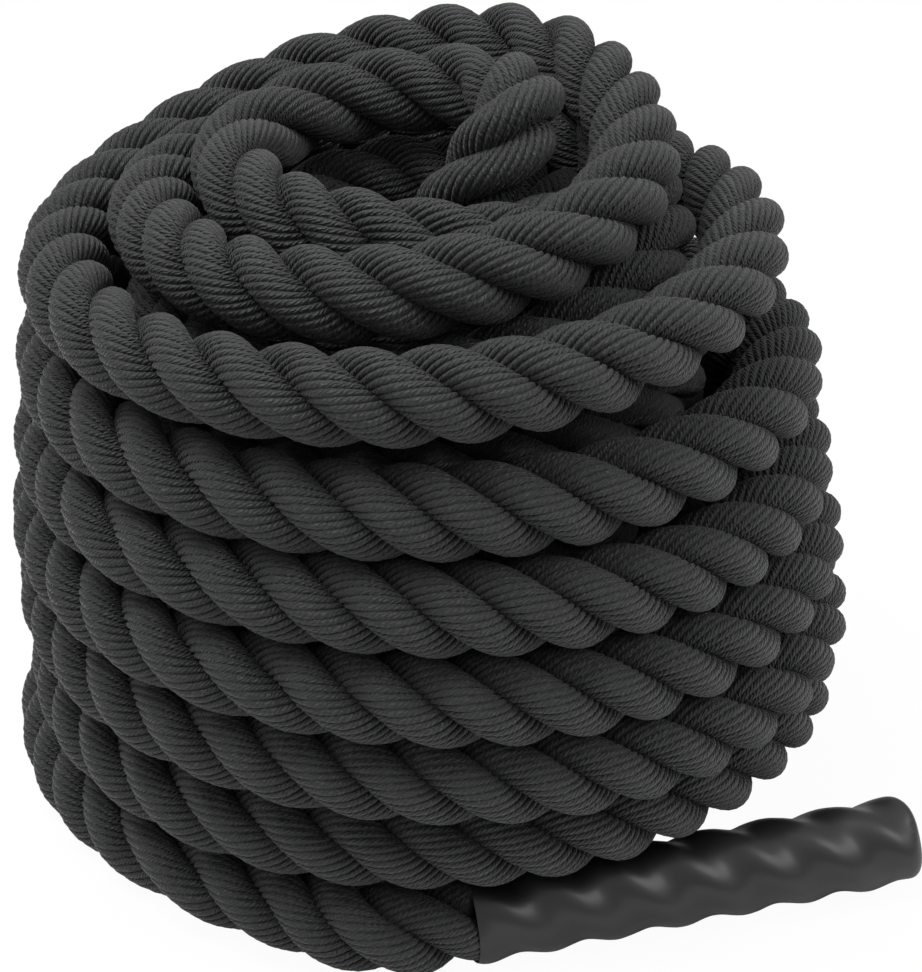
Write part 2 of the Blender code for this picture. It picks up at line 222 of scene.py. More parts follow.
def place_at(where):
    """Points, directions forward and sideways of the rope's line at these lengths from its start."""
    found = [np.stack([np.interp(where, along, data[:, axis]) for axis in range(3)], axis=1)
             for data in (smooth, forward, sideways)]
    ahead = found[1] / np.linalg.norm(found[1], axis=1)[:, None]
    across = found[2] - ahead * (found[2] * ahead).sum(axis=1)[:, None]
    return found[0], ahead, across / np.linalg.norm(across, axis=1)[:, None]


def length_at(turn):
    """Length along the rope at a turn of the coil."""
    return float(np.interp(turn, coil_turns, turn_along))


# %% [markdown]
# ## Three laid strands
#
# The rope is laid to the right: each strand climbs round the rope's middle like the thread of a screw, once in about
# two and a quarter diameters. Inside each strand the yarns are twisted the other way, and that is why they run nearly
# straight along the rope where a strand shows on the outside. An Array and a Curve modifier could bend one copied
# stretch of rope along the line, but copies stretch on tight turns. Here every ring of points is placed on the strand
# itself, and the rings turn as the yarns do, so the edges of the mesh run along the yarns and each yarn is a real rib.

# %% Sizes of the lay
STRANDS = 3
LAY_PITCH = 0.0855
STRAND_ORBIT = 0.262 * ROPE_DIAMETER
STRAND_RADIUS = 0.238 * ROPE_DIAMETER
YARNS = 13
YARN_WIDTH = 2 * math.pi * STRAND_RADIUS / YARNS
# The grooves between yarns are worn down by this share where a strand lies outermost.
RIB_DEPTH = 0.0013
WORN_SHARE = 0.65
# How far a yarn strays: sideways in yarn widths, in depth in metres, in waves of these lengths along and round.
YARN_WANDER = 0.05
YARN_LIFT = 0.00006
WAVE_LENGTHS = (0.013, 0.021, 0.034, 0.055)
WAVES_ROUND = (1, 3, 6)
WAVES_TOGETHER = 2.5
# Twisting the yarns back this much more than the strand turns sets them nearly along the rope, as photographed.
OVERTWIST = 1.15
STRAND_SLOPE = 2 * math.pi * STRAND_ORBIT / LAY_PITCH
YARN_TURNS_PER_LAY = OVERTWIST * (STRAND_ORBIT + STRAND_RADIUS) / STRAND_RADIUS * math.hypot(1, STRAND_SLOPE)
# Points of one yarn round the strand: part of its width, and depth below the crown.
RIBBED_YARN = ((0.0, 1.0), (0.22, 0.24), (0.50, 0.0), (0.78, 0.24))
PLAIN_YARN = ((0.0, 0.4),)
# The rope's size in a sleeve's mouth, and the length over which it gets back to full size.
GRIP_SQUEEZE = 0.935
GRIP_SQUEEZE_LENGTH = 0.016
print("yarns turn back", round(YARN_TURNS_PER_LAY, 2), "times for each turn of their strand")

# %% Where the lay is slacker
# Each row: turn of the coil, and how many strand widths the lay is ahead by then, or behind where negative. Coiling
# takes twist out of a rope here and puts it in there, so the strands are shifted until they come where the
# photograph shows them.
SLACK = np.array([
    (0.02, 0.22), (0.06, 0.22), (0.10, 0.03), (0.14, -0.60), (0.17, -0.70), (0.22, -0.58),
    (0.84, -0.78), (0.90, -0.86), (0.96, -0.91), (1.03, -0.83), (1.07, -0.93), (1.11, -1.23), (1.14, -1.48),
    (1.17, -1.63), (1.20, -1.58),
    (1.84, -1.93), (1.88, -2.10), (2.04, -2.14), (2.08, -2.26), (2.13, -2.58), (2.17, -2.73), (2.21, -2.63),
    (2.83, -3.08), (2.90, -3.30), (3.05, -3.26), (3.09, -3.53), (3.12, -3.74), (3.16, -3.83), (3.20, -3.78),
    (3.82, -3.75), (3.87, -3.80), (3.95, -3.77), (4.02, -3.70), (4.06, -3.72), (4.09, -3.92), (4.12, -4.16),
    (4.15, -4.52), (4.20, -4.36),
    (4.75, -4.93), (4.80, -5.13), (4.86, -5.40), (4.92, -5.60), (4.98, -5.56), (5.03, -5.50), (5.07, -5.55),
    (5.11, -5.78), (5.16, -6.11), (5.20, -6.16),
    (5.70, -6.82), (5.76, -7.31), (5.80, -7.52), (5.86, -7.83), (5.90, -8.04), (5.96, -8.00), (6.04, -7.87),
    (6.08, -7.92), (6.12, -8.05), (6.17, -8.35), (6.21, -8.43), (6.27, -8.44), (6.33, -8.66), (6.40, -8.90),
    (6.46, -9.17), (6.52, -9.46), (6.56, -9.64), (6.62, -9.98), (6.70, -10.13), (6.82, -10.14), (6.91, -10.32),
    (7.00, -10.34), (7.08, -10.30), (7.22, -10.18), (7.31, -10.13), (7.75, -9.93), (7.80, -10.10),
    (20.36, -9.63), (20.52, -9.68), (20.60, -9.75), (21.02, -10.38), (21.10, -10.28), (21.17, -10.28),
    (21.25, -10.46), (21.35, -10.88), (21.42, -11.08), (21.50, -11.21), (21.57, -11.37), (21.62, -11.58),
])
slack_places = [length_at(turn) for turn in SLACK[:, 0]]
slack_angles = 2 * math.pi / STRANDS * SLACK[:, 1]
print(len(SLACK), "places where the twist is set")


def lay_angle(where):
    """How far round the rope the first strand has come."""
    return 2 * math.pi * where / LAY_PITCH + np.interp(where, slack_places, slack_angles)


def squeeze(where):
    """Share of its full size that the rope has: a little less where it enters a grip."""
    near = np.clip(np.minimum(where, ROPE_LENGTH - where) / GRIP_SQUEEZE_LENGTH, 0, 1)
    return GRIP_SQUEEZE + (1 - GRIP_SQUEEZE) * near * near * (3 - 2 * near)


# %% How uneven the yarns are
def yarn_unevenness(where, number, places):
    """How far each yarn wanders sideways, in yarn widths, and how deep it lies, along the rope."""
    dice = np.random.default_rng(number + 1)
    around = 2 * math.pi * places / YARNS
    wander, lift = 0.0, 0.0
    for wave_length in WAVE_LENGTHS:
        for turns_round in WAVES_ROUND:
            start, other_start = dice.uniform(0, 2 * math.pi, 2)
            phase = 2 * math.pi * where[:, None] / wave_length + turns_round * around[None]
            wander = wander + np.sin(phase + start)
            lift = lift + np.sin(phase + other_start)
    return wander * YARN_WANDER / WAVES_TOGETHER, lift * YARN_LIFT / WAVES_TOGETHER


# %% The surface of one strand
def strand_rings(where, number, yarn_points):
    """Points of one strand, ring by ring, their places across the yarns, and how far outside they lie."""
    points, ahead, across = place_at(where)
    up = np.cross(ahead, across)
    size = squeeze(where)[:, None]
    angle = (lay_angle(where) + 2 * math.pi * number / STRANDS)[:, None]
    outward = np.cos(angle) * across + np.sin(angle) * up
    centres = points + STRAND_ORBIT * size * outward
    strand_way = np.gradient(centres, axis=0)
    strand_way /= np.linalg.norm(strand_way, axis=1)[:, None]
    outward -= strand_way * (outward * strand_way).sum(axis=1)[:, None]
    outward /= np.linalg.norm(outward, axis=1)[:, None]
    round_it = np.cross(strand_way, outward)
    places = np.array([yarn + width for yarn in range(YARNS) for width, _ in yarn_points])
    depths = np.array([depth for _ in range(YARNS) for _, depth in yarn_points])
    wander, lift = yarn_unevenness(where, number, places)
    ring_angle = 2 * math.pi * (places[None] + wander) / YARNS - YARN_TURNS_PER_LAY * lay_angle(where)[:, None]
    outside = np.cos(ring_angle)
    worn = 1 - WORN_SHARE * np.clip(outside, 0, 1)**2
    reach = (STRAND_RADIUS - RIB_DEPTH * depths[None] * worn - lift) * size
    rings = (centres[:, None] + (reach * outside)[..., None] * outward[:, None]
             + (reach * np.sin(ring_angle))[..., None] * round_it[:, None])
    return rings, places, outside


print("a ring of a ribbed strand has", YARNS * len(RIBBED_YARN), "points, of a plain one", YARNS * len(PLAIN_YARN))


# %% A mesh from the rings
def strand_mesh(name, start, stop, number, step, yarn_points):
    """A closed mesh of one strand between two lengths along the rope, with its yarn map."""
    where = np.linspace(start, stop, max(2, round((stop - start) / step) + 1))
    rings, places, outside = strand_rings(where, number, yarn_points)
    count, around = rings.shape[:2]
    points = np.vstack([rings.reshape(-1, 3), rings[0].mean(axis=0), rings[-1].mean(axis=0)])
    first = (np.arange(count - 1)[:, None] * around + np.arange(around)[None]).ravel()
    beside = (np.arange(count - 1)[:, None] * around + (np.arange(around)[None] + 1) % around).ravel()
    sides = np.stack([first, beside, beside + around, first + around], axis=1)
    ring, turned = np.arange(around), (np.arange(around) + 1) % around
    start_cap = np.stack([turned, ring, np.full(around, count * around)], axis=1)
    end_ring = (count - 1) * around
    stop_cap = np.stack([end_ring + ring, end_ring + turned, np.full(around, count * around + 1)], axis=1)
    mesh = bpy.data.meshes.new(name)
    mesh.from_pydata(points.tolist(), [], sides.tolist() + start_cap.tolist() + stop_cap.tolist())
    mesh.polygons.foreach_set("use_smooth", np.ones(len(mesh.polygons), bool))
    add_yarn_map(mesh, where, places, count, around)
    layer = mesh.attributes.new("outside", "FLOAT", "POINT")
    layer.data.foreach_set("value", np.append(outside.ravel(), (0.0, 0.0)))
    crease_grooves(mesh, yarn_points, count, around)
    mesh.update()
    return mesh


# %% The yarn map and the sharp grooves
def add_yarn_map(mesh, where, places, count, around):
    """A UV map that follows the yarns: yarn numbers across, and yarn widths along."""
    run = where / YARN_WIDTH
    left = np.tile(places, count - 1)
    right = np.tile(np.append(places[1:], YARNS), count - 1)
    near, far = np.repeat(run[:-1], around), np.repeat(run[1:], around)
    corners = np.stack([np.stack([left, near], 1), np.stack([right, near], 1),
                        np.stack([right, far], 1), np.stack([left, far], 1)], axis=1).reshape(-1, 2)
    layer = mesh.uv_layers.new(name="yarns")
    values = np.zeros((len(mesh.loops), 2))
    values[:len(corners)] = corners
    layer.data.foreach_set("uv", values.ravel())


def crease_grooves(mesh, yarn_points, count, around):
    """Marks the grooves between yarns, and the rims of the ends, as sharp."""
    ends = np.empty(len(mesh.edges) * 2, int)
    mesh.edges.foreach_get("vertices", ends)
    ends = ends.reshape(-1, 2)
    ring, column = ends // around, ends % around
    groove = (column[:, 0] == column[:, 1]) & (column[:, 0] % len(yarn_points) == 0) & (len(yarn_points) > 1)
    rim = (ring[:, 0] == ring[:, 1]) & ((ring[:, 0] == 0) | (ring[:, 0] == count - 1))
    sharp = mesh.attributes.new("sharp_edge", "BOOLEAN", "EDGE")
    sharp.data.foreach_set("value", groove | rim)


# %% [markdown]
# ## Stretches of the rope
#
# One mesh for the whole rope would be too heavy to work with. It is made in stretches that meet end to end. The
# outer turns, the top and the turns in the hole are seen, so they have four points to a yarn. The layers deep inside
# have one, and their rings are further apart.

# %% Make the strands
# Each row: name, first and last turn (none at an end of the rope), step between rings, points of a yarn.
FINE_STEP, HOLE_STEP, HIDDEN_STEP = 0.0020, 0.0030, 0.005
STRETCHES = (
    ("lower_turns", None, 2.6, FINE_STEP, RIBBED_YARN),
    ("middle_turns", 2.6, 5.25, FINE_STEP, RIBBED_YARN),
    ("upper_turns", 5.25, 8.6, FINE_STEP, RIBBED_YARN),
    ("hidden_turns", 8.6, 14.0, HIDDEN_STEP, PLAIN_YARN),
    ("hole_turns", 14.0, 20.1, HOLE_STEP, RIBBED_YARN),
    ("top_turn", 20.1, None, FINE_STEP, RIBBED_YARN),
)
rope_pieces = []
stretch_of = {}
for name, first_turn, last_turn, step, yarn_points in STRETCHES:
    start = 0.0 if first_turn is None else length_at(first_turn)
    stop = ROPE_LENGTH if last_turn is None else length_at(last_turn)
    strands = []
    for number in range(STRANDS):
        mesh = strand_mesh(f"{name}_strand_{number + 1}", start, stop, number, step, yarn_points)
        strand = bpy.data.objects.new(mesh.name, mesh)
        bpy.context.scene.collection.objects.link(strand)
        strands.append(strand)
    rope_pieces += strands
    stretch_of[name] = (start, stop, strands)
    triangles = sum(len(face.vertices) - 2 for face in strands[0].data.polygons)
    print(f"{name}: {stop - start:.2f} m, {triangles} triangles in each strand")

# %% Say how the rope lies
for start, stop, strands in stretch_of.values():
    for strand in strands:
        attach(strand, "root")
        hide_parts("rope_coil")
print(len(rope_pieces), "strands in", len(stretch_of), "stretches")

# %% [markdown]
# ## The rope's material
#
# Up close each yarn is itself a bundle of twisted threads, so it glints in short slanting dashes. Its crown is
# painted lighter, and its grooves and the gaps between its threads darker, as painted shade. An image of rope could be
# laid over it, but it would repeat. Here the yarn map gives each point its yarn number and its way along the yarn, and
# a few waves and noises in those directions do the rest, at the true size.


# %% Helpers for materials
def new_material(name):
    """An empty node material with its Principled shader."""
    made = bpy.data.materials.new(name)
    made.use_nodes = True
    return made, made.node_tree, made.node_tree.nodes["Principled BSDF"]


def node(tree, kind, **settings):
    """A node with some of its settings or unlinked inputs."""
    made = tree.nodes.new(kind)
    for key, value in settings.items():
        if key in made.inputs.keys():
            made.inputs[key].default_value = value
        else:
            setattr(made, key, value)
    return made


def maths(tree, operation, first, second=0.0, third=0.0):
    """One sum of two or three values, linked or plain."""
    made = node(tree, "ShaderNodeMath", operation=operation)
    for socket, value in zip(made.inputs, (first, second, third)):
        if isinstance(value, (int, float)):
            socket.default_value = value
        else:
            tree.links.new(value, socket)
    return made.outputs[0]


def texture(tree, place, kind, **settings):
    """A texture in the piece's own coordinates, as a value from 0 to 1."""
    made = node(tree, kind, **settings)
    tree.links.new(place.outputs["Object"], made.inputs["Vector"])
    return made.outputs["Fac"]


def between(tree, value, low, high, **settings):
    """A value stretched so that low becomes 0 and high becomes 1."""
    made = node(tree, "ShaderNodeMapRange", **{"From Min": low, "From Max": high}, **settings)
    tree.links.new(value, made.inputs["Value"])
    return made.outputs[0]


def colour_by(tree, shader, value, dark, light, low=0.0, high=1.0):
    """Lets the base colour run from dark to light as a value goes from low to high."""
    tones = node(tree, "ShaderNodeValToRGB")
    for element, position, tone in zip(tones.color_ramp.elements, (low, high), (dark, light)):
        element.position = position
        element.color = (*tone, 1)
    tree.links.new(value, tones.inputs["Fac"])
    tree.links.new(tones.outputs["Color"], shader.inputs["Base Color"])


def bump_by(tree, shader, height, strength, distance):
    """Lets the surface look raised where a value is high."""
    bump = node(tree, "ShaderNodeBump", Strength=strength, Distance=distance)
    tree.links.new(height, bump.inputs["Height"])
    tree.links.new(bump.outputs["Normal"], shader.inputs["Normal"])


# %% Rope fibre: where a point lies on its yarn
fibre, tree, shader = new_material("rope_fibre")
yarn_map = node(tree, "ShaderNodeUVMap", uv_map="yarns")
split = node(tree, "ShaderNodeSeparateXYZ")
tree.links.new(yarn_map.outputs[0], split.inputs[0])
yarn, run = split.outputs[0], split.outputs[1]
yarn_number = maths(tree, "FLOOR", yarn)
# The crown is 1 along the middle of a yarn, and 0 in the grooves beside it.
crown = maths(tree, "SINE", maths(tree, "MULTIPLY", maths(tree, "FRACT", yarn), math.pi))
# How far outside on the rope a point lies: 1 on the outermost line of a strand, 0 at its sides.
outside = node(tree, "ShaderNodeAttribute", attribute_name="outside").outputs["Fac"]
open_side = between(tree, outside, -0.25, 0.75)
print("a yarn is", round(YARN_WIDTH * 1000, 2), "mm wide")

# %% Rope fibre: threads, loose fibres and wear
# Threads cross a yarn as short dashes: so many to a yarn width along it, slanting, shifted from yarn to yarn, and
# bent a little by a noise.
THREADS_PER_WIDTH, THREAD_SLANT, THREAD_SHIFT, THREAD_BEND = 3.4, 0.9, 0.37, 1.8
FUZZ_SCALE = 1500.0
place = node(tree, "ShaderNodeTexCoord")
wobble = texture(tree, place, "ShaderNodeTexNoise", Scale=330.0, Detail=2.0)
slant = maths(tree, "MULTIPLY_ADD", run, THREADS_PER_WIDTH, maths(tree, "MULTIPLY", yarn, THREAD_SLANT))
slant = maths(tree, "MULTIPLY_ADD", yarn_number, THREAD_SHIFT, slant)
slant = maths(tree, "MULTIPLY_ADD", wobble, THREAD_BEND, slant)
thread = maths(tree, "SINE", maths(tree, "MULTIPLY", slant, 2 * math.pi))
thread = maths(tree, "MULTIPLY_ADD", thread, 0.5, 0.5)
# Loose fibres, how much each place has been handled, and a tone of its own for each yarn.
fuzz = texture(tree, place, "ShaderNodeTexNoise", Scale=FUZZ_SCALE, Detail=3.0)
wear = texture(tree, place, "ShaderNodeTexNoise", Scale=30.0, Detail=4.0)
yarn_tone = node(tree, "ShaderNodeTexWhiteNoise", noise_dimensions="1D")
tree.links.new(yarn_number, yarn_tone.inputs["W"])
print("threads are", round(YARN_WIDTH / THREADS_PER_WIDTH * 1000, 2), "mm apart")

# %% Rope fibre: tones, glints and bump
# Shares of the tone from the painted shade of grooves and threads, the yarn, the wear and the loose fibres.
GROOVE_SHADE_SHARE, YARN_SHARE, WEAR_SHARE, FUZZ_SHARE = 0.62, 0.10, 0.30, 0.22
# How much painted shade darkens it between threads, and at the sides of a strand, deep between its neighbours.
THREAD_SHADE, SIDE_SHADE = 0.40, 0.26
ROPE_DARK, ROPE_LIGHT = (0.0056, 0.0059, 0.0063), (0.0228, 0.0237, 0.0253)
# Painted shade: each yarn's crown is kept light, and the grooves and the gaps between threads are darkened.
body = between(tree, crown, 0.12, 0.75, interpolation_type="SMOOTHSTEP")
groove_and_thread_shade = maths(tree, "MULTIPLY", body, maths(tree, "MULTIPLY_ADD", thread, THREAD_SHADE, 1 - THREAD_SHADE))
shade = maths(tree, "MULTIPLY", groove_and_thread_shade, GROOVE_SHADE_SHARE)
shade = maths(tree, "MULTIPLY_ADD", yarn_tone.outputs["Value"], YARN_SHARE, shade)
shade = maths(tree, "MULTIPLY_ADD", wear, WEAR_SHARE, shade)
shade = maths(tree, "MULTIPLY_ADD", fuzz, FUZZ_SHARE, shade)
# Painted shade: the sides of a strand, down between its neighbours, are darkened.
shade = maths(tree, "MULTIPLY", shade, maths(tree, "MULTIPLY_ADD", open_side, SIDE_SHADE, 1 - SIDE_SHADE))
colour_by(tree, shader, shade, ROPE_DARK, ROPE_LIGHT, 0.12, 0.95)

# The threads glint: where they stand out they are less rough.
ROUGHNESS, THREAD_GLINT = 0.62, 0.18
tree.links.new(maths(tree, "MULTIPLY_ADD", thread, -THREAD_GLINT, ROUGHNESS), shader.inputs["Roughness"])
shader.inputs["Specular IOR Level"].default_value = 0.42
shader.inputs["Sheen Weight"].default_value = 0.16
shader.inputs["Sheen Roughness"].default_value = 0.45

# The threads and the crowns of the yarns stand out, and loose fibres make them uneven.
THREAD_HEIGHT, CROWN_HEIGHT, FUZZ_HEIGHT, BUMP_DEPTH = 0.75, 0.7, 0.5, 0.0005
height = maths(tree, "MULTIPLY_ADD", thread, THREAD_HEIGHT, maths(tree, "MULTIPLY", crown, CROWN_HEIGHT))
height = maths(tree, "MULTIPLY_ADD", fuzz, FUZZ_HEIGHT, height)
bump_by(tree, shader, height, 1.0, BUMP_DEPTH)
for strand in rope_pieces:
    strand.data.materials.append(fibre)
print("rope fibre has", len(tree.nodes), "nodes")

# %% [markdown]
# ## The grips
#
# A grip starts as a smooth plastic tube, closed at one end, that is heated until it shrinks tight on the rope. The
# strands then show through it as three low swellings that wind round it. They could be carved into a plain tube by a
# noise, but the lumps have to go on where the strands go in. Here a cylinder gets three straight swellings, and
# is then twisted as far as the rope's lay turns over its length.

# %% Sizes of a sleeve
SLEEVE_RADIUS = 0.0187
SLEEVE_WALL = 0.0010
SLEEVE_SWELLING = 0.0012
# How far the mouth laps over the rope, and how narrow its first two rings are.
SLEEVE_LAP = 0.002
MOUTH_PINCH_SHARES = (0.960, 0.985)
SLEEVE_COLUMNS = 48
SLEEVE_RINGS = 56
COLUMNS_EACH = SLEEVE_COLUMNS // STRANDS
# The rim of the closed end is rounded in steps, and its disc then shrinks to a point in three more.
END_ROUNDING = 0.0075
END_STEPS = 4
DISC_SHARES = (0.72, 0.6, 0.5)
# Left solid between the bore and the closed end.
SOLID_END = 0.010
STRAIGHT = GRIP_LENGTH - END_ROUNDING
# Points within a hair of a height, or within part of a column, count as being there.
HAIR = 0.0001
COLUMN_REACH = 0.25
print("a sleeve is", GRIP_LENGTH * 1000, "mm long, and laps", SLEEVE_LAP * 1000, "mm over the rope")


# %% A straight tube, closed at one end
def pick(mesh, test):
    """Selects the points that pass a test, and the edges and faces between them."""
    bpy.ops.object.mode_set(mode="OBJECT")
    chosen = [bool(test(point.co)) for point in mesh.vertices]
    mesh.vertices.foreach_set("select", chosen)
    mesh.edges.foreach_set("select", [chosen[edge.vertices[0]] and chosen[edge.vertices[1]] for edge in mesh.edges])
    mesh.polygons.foreach_set("select", [all(chosen[corner] for corner in face.vertices) for face in mesh.polygons])
    bpy.ops.object.mode_set(mode="EDIT")


def straight_tube(name):
    """A cylinder from its mouth, a lap below the origin, up along Z."""
    bpy.ops.object.select_all(action="DESELECT")
    bpy.ops.mesh.primitive_cylinder_add(vertices=SLEEVE_COLUMNS, radius=SLEEVE_RADIUS, depth=STRAIGHT + SLEEVE_LAP,
                                        location=(0, 0, (STRAIGHT - SLEEVE_LAP) / 2))
    sleeve = bpy.context.active_object
    sleeve.name = name
    bpy.ops.object.transform_apply(location=True, rotation=True, scale=True)
    return sleeve


def round_end(mesh):
    """The closed end: its flat disc rises and shrinks in small steps, which rounds the rim, and closes in a point."""
    bpy.ops.object.mode_set(mode="EDIT")
    bpy.ops.mesh.select_mode(type="FACE")
    pick(mesh, lambda point: point.z > STRAIGHT - HAIR)
    past_rise, past_radius = 0.0, SLEEVE_RADIUS
    for step in range(1, END_STEPS + 1):
        angle = math.pi / 2 * step / END_STEPS
        rise, radius = END_ROUNDING * math.sin(angle), SLEEVE_RADIUS - END_ROUNDING * (1 - math.cos(angle))
        bpy.ops.mesh.extrude_region_move(TRANSFORM_OT_translate={"value": (0, 0, rise - past_rise)})
        bpy.ops.transform.resize(value=(radius / past_radius, radius / past_radius, 1))
        past_rise, past_radius = rise, radius
    for share in DISC_SHARES:
        bpy.ops.mesh.extrude_region_move(TRANSFORM_OT_translate={"value": (0, 0, 0)})
        bpy.ops.transform.resize(value=(share, share, 1))
    bpy.ops.mesh.merge(type="CENTER")


def open_bore(mesh):
    """The bore: the mouth is inset by the wall, and its disc pushed in almost to the end."""
    pick(mesh, lambda point: point.z < HAIR - SLEEVE_LAP)
    bpy.ops.mesh.inset(thickness=SLEEVE_WALL, depth=0)
    bpy.ops.mesh.extrude_region_move(TRANSFORM_OT_translate={"value": (0, 0, GRIP_LENGTH + SLEEVE_LAP - SOLID_END)})


# %% Rings, swellings and a pinched mouth
def cut_rings(mesh):
    """Rings along the length, both outside and in the bore."""
    bpy.ops.mesh.select_all(action="DESELECT")
    bpy.ops.mesh.select_mode(type="EDGE")
    bpy.ops.object.mode_set(mode="OBJECT")
    heights = [point.co.z for point in mesh.vertices]
    long_edges = [abs(heights[edge.vertices[0]] - heights[edge.vertices[1]]) > GRIP_LENGTH / 2 for edge in mesh.edges]
    mesh.edges.foreach_set("select", long_edges)
    bpy.ops.object.mode_set(mode="EDIT")
    bpy.ops.mesh.subdivide(number_cuts=SLEEVE_RINGS - 1)
    bpy.ops.mesh.select_mode(type="VERT")


def from_crest(point):
    """How many columns a point is from the nearest crest."""
    place = math.atan2(point.y, point.x) / (2 * math.pi) * SLEEVE_COLUMNS % COLUMNS_EACH
    return min(place, COLUMNS_EACH - place)


def swell(mesh):
    """Three swellings: columns of points at the same distance from a crest are widened together."""
    for column in range(COLUMNS_EACH // 2 + 1):
        pick(mesh, lambda point: abs(from_crest(point) - column) < COLUMN_REACH and point.xy.length > HAIR)
        wide = 1 + SLEEVE_SWELLING / SLEEVE_RADIUS * math.cos(2 * math.pi * column / COLUMNS_EACH)
        bpy.ops.transform.resize(value=(wide, wide, 1), center_override=(0, 0, 0))


def pinch_mouth(mesh):
    """The first rings of the mouth are drawn in, and then all faces are turned the right way round."""
    ring_step = (STRAIGHT + SLEEVE_LAP) / SLEEVE_RINGS
    for ring, share in enumerate(MOUTH_PINCH_SHARES):
        pick(mesh, lambda point: abs(point.z + SLEEVE_LAP - ring * ring_step) < ring_step / 3)
        bpy.ops.transform.resize(value=(share, share, 1), center_override=(0, 0, 0))
    bpy.ops.mesh.select_all(action="SELECT")
    bpy.ops.mesh.normals_make_consistent(inside=False)
    bpy.ops.object.mode_set(mode="OBJECT")


# %% The twist, and the film's slight unevenness
FILM_SCALE = 0.014
FILM_DEPTH = 0.0005
FILM_LEVEL = 0.9
SMOOTH_ANGLE = math.radians(50)


def twist_and_smooth(sleeve):
    """Twists a sleeve as far as the lay turns, makes its mesh finer, and lets the film vary in thickness."""
    twist = sleeve.modifiers.new("lay", "SIMPLE_DEFORM")
    twist.deform_method = "TWIST"
    twist.deform_axis = "Z"
    twist.angle = 2 * math.pi * GRIP_LENGTH / LAY_PITCH
    bpy.ops.object.modifier_apply(modifier="lay")
    finer = sleeve.modifiers.new("finer", "SUBSURF")
    finer.levels = finer.render_levels = 1
    bpy.ops.object.modifier_apply(modifier="finer")
    film = bpy.data.textures.new("film", "CLOUDS")
    film.noise_scale = FILM_SCALE
    uneven = sleeve.modifiers.new("uneven", "DISPLACE")
    uneven.texture = film
    uneven.strength = FILM_DEPTH
    uneven.mid_level = FILM_LEVEL
    bpy.ops.object.modifier_apply(modifier="uneven")
    bpy.ops.object.shade_smooth_by_angle(angle=SMOOTH_ANGLE)


def shrunk_sleeve(name):
    """A closed sleeve from its mouth at the origin up along Z."""
    sleeve = straight_tube(name)
    round_end(sleeve.data)
    open_bore(sleeve.data)
    cut_rings(sleeve.data)
    swell(sleeve.data)
    pinch_mouth(sleeve.data)
    twist_and_smooth(sleeve)
    return sleeve


print("the lay turns", round(GRIP_LENGTH / LAY_PITCH, 2), "times in a sleeve")


# %% Put a sleeve on each end of the rope
def put_on(sleeve, mouth_point, outward, across, turned):
    """Moves a sleeve onto an end of the rope: its Z goes outward, and its X across, turned by an angle."""
    outward, across = Vector(outward), Vector(across)
    up = outward.cross(across)
    frame_there = Matrix((across, up, outward)).transposed().to_4x4()
    sleeve.matrix_world = Matrix.Translation(mouth_point) @ frame_there @ Matrix.Rotation(turned, 4, "Z")
    bpy.ops.object.select_all(action="DESELECT")
    sleeve.select_set(True)
    bpy.context.view_layer.objects.active = sleeve
    bpy.ops.object.transform_apply(location=True, rotation=True, scale=True)


lower_grip = shrunk_sleeve("lower_grip")
put_on(lower_grip, smooth[0], -forward[0], sideways[0], -float(lay_angle(0.0)))
upper_grip = shrunk_sleeve("upper_grip")
put_on(upper_grip, smooth[-1], forward[-1], sideways[-1], float(lay_angle(ROPE_LENGTH)))
for grip, node_name in ((lower_grip, "lower_sleeve"), (upper_grip, "upper_sleeve")):
    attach(grip, "root")
    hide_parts(node_name)
    print(grip.name, "has", len(grip.data.polygons), "faces")

# %% [markdown]
# ## The sleeve's plastic
#
# The shrunk plastic is black and half glossy, with a fine grain, and with smudges where hands hold it. Photographs of
# such a film could be laid on, but the twisted sleeve has no flat side for them. Two noises are enough here: a coarse
# one that changes tone and gloss, and a fine one for the grain. A thin coat adds the soft shine on top.

# %% Sleeve plastic
SLEEVE_DARK, SLEEVE_LIGHT = (0.0034, 0.0035, 0.0038), (0.0070, 0.0073, 0.0078)
LEAST_ROUGHNESS, SMUDGE_ROUGHNESS, GRAIN_DEPTH = 0.40, 0.20, 0.0002
plastic, tree, shader = new_material("shrunk_sleeve")
place = node(tree, "ShaderNodeTexCoord")
grain = texture(tree, place, "ShaderNodeTexNoise", Scale=900.0, Detail=3.0)
smudge = texture(tree, place, "ShaderNodeTexNoise", Scale=35.0, Detail=4.0)
colour_by(tree, shader, smudge, SLEEVE_DARK, SLEEVE_LIGHT)
tree.links.new(maths(tree, "MULTIPLY_ADD", smudge, SMUDGE_ROUGHNESS, LEAST_ROUGHNESS), shader.inputs["Roughness"])
bump_by(tree, shader, grain, 0.12, GRAIN_DEPTH)
shader.inputs["Specular IOR Level"].default_value = 0.62
shader.inputs["Coat Weight"].default_value = 0.32
shader.inputs["Coat Roughness"].default_value = 0.28
for grip in (lower_grip, upper_grip):
    grip.data.materials.append(plastic)
print("sleeve plastic has", len(tree.nodes), "nodes")

# %% [markdown]
# ## Inside the sleeves
#
# Under each sleeve the strands go on, held by a binding of tape. The CAD pieces could be modelled again with yarns,
# but nothing shows of them while the sleeves are whole. So they stay as they are, and get the look of what they are:
# fibre along the strands, and woven tape.

